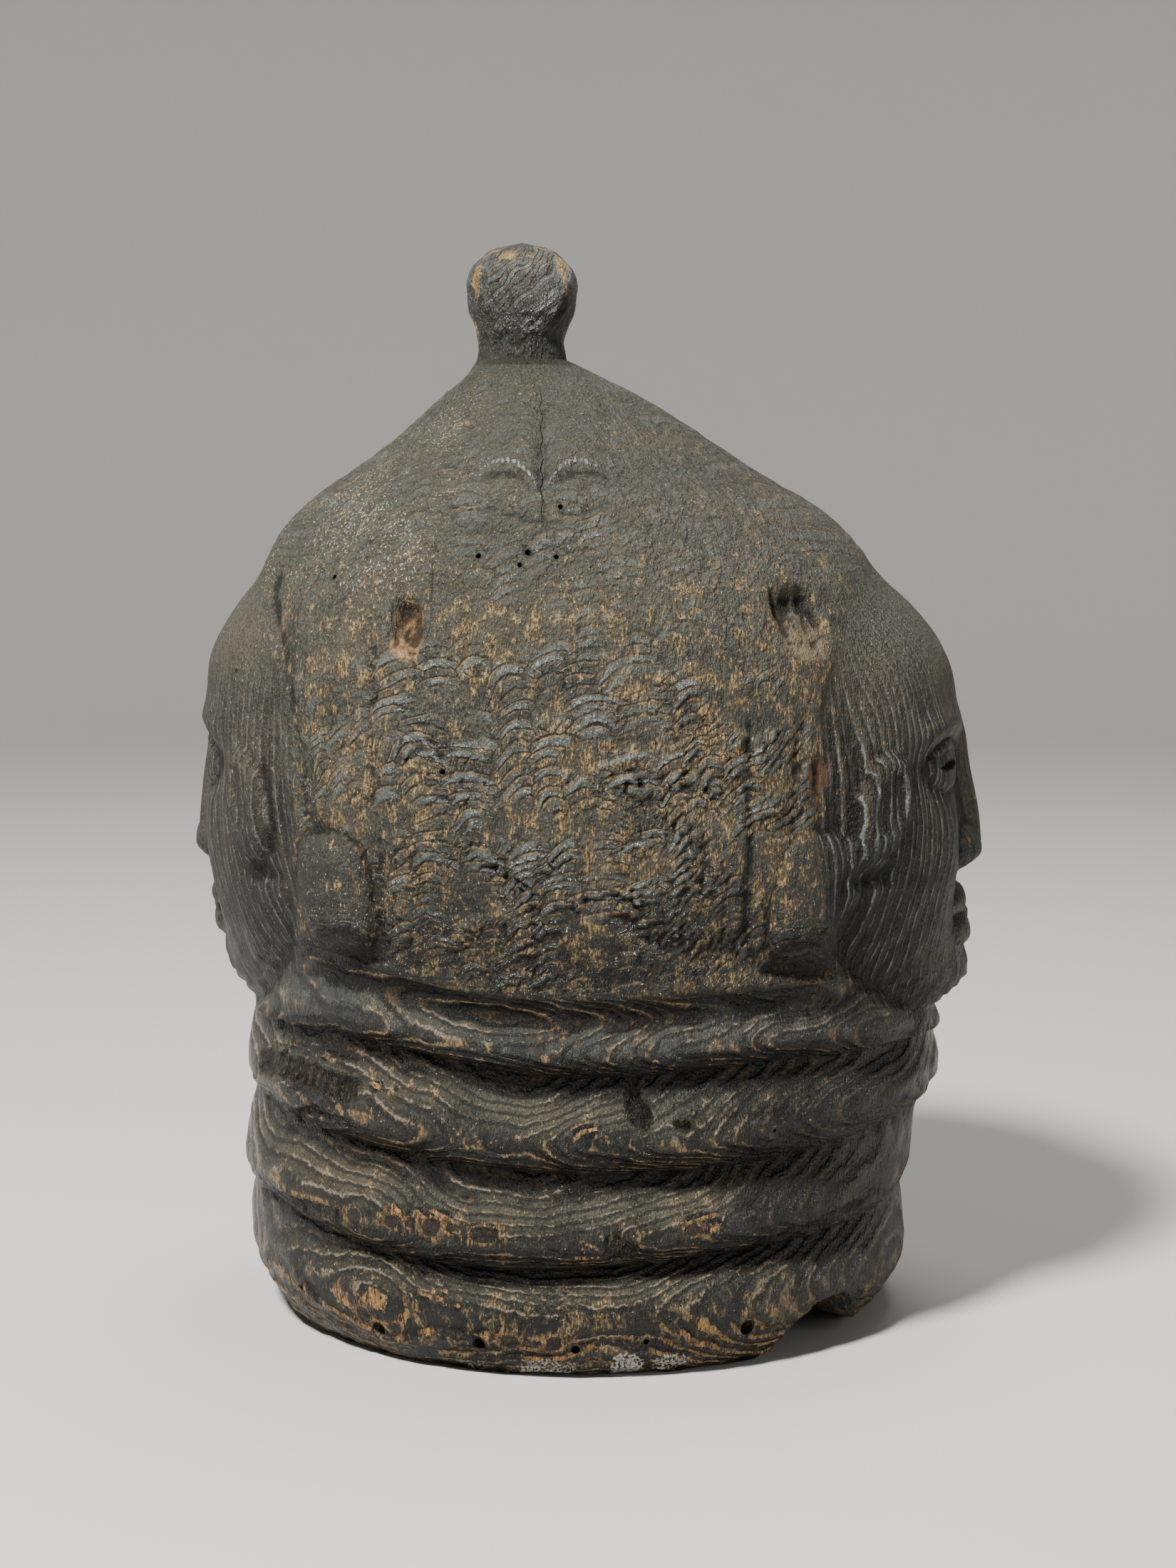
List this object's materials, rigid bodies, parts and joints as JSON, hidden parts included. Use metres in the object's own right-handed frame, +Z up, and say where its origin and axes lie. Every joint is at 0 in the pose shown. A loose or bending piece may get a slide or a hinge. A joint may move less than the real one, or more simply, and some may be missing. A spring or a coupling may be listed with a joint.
{
  "type": "double-faced helmet mask",
  "caption": "Hollow helmet mask carved from one block of wood: two opposite faces, a ringed neck, dressed hair and a knobbed crown; it stands on its open rim.",
  "frame": {"origin": "on the floor plane under the middle of the whole mask's box, where the open rim stands", "axes": "+Z up to the knob, -X and +X towards the two faces, -Y towards the better side of the hair"},
  "size_m": [0.2904, 0.228, 0.387],
  "materials": {
    "carved_wood": "dark stained wood with raised grain, dusty above, worn to brown and tan on edges and around the rim"
  },
  "bodies": {
    "root": {"helmet_mask": "carved_wood"}
  },
  "joints": []
}
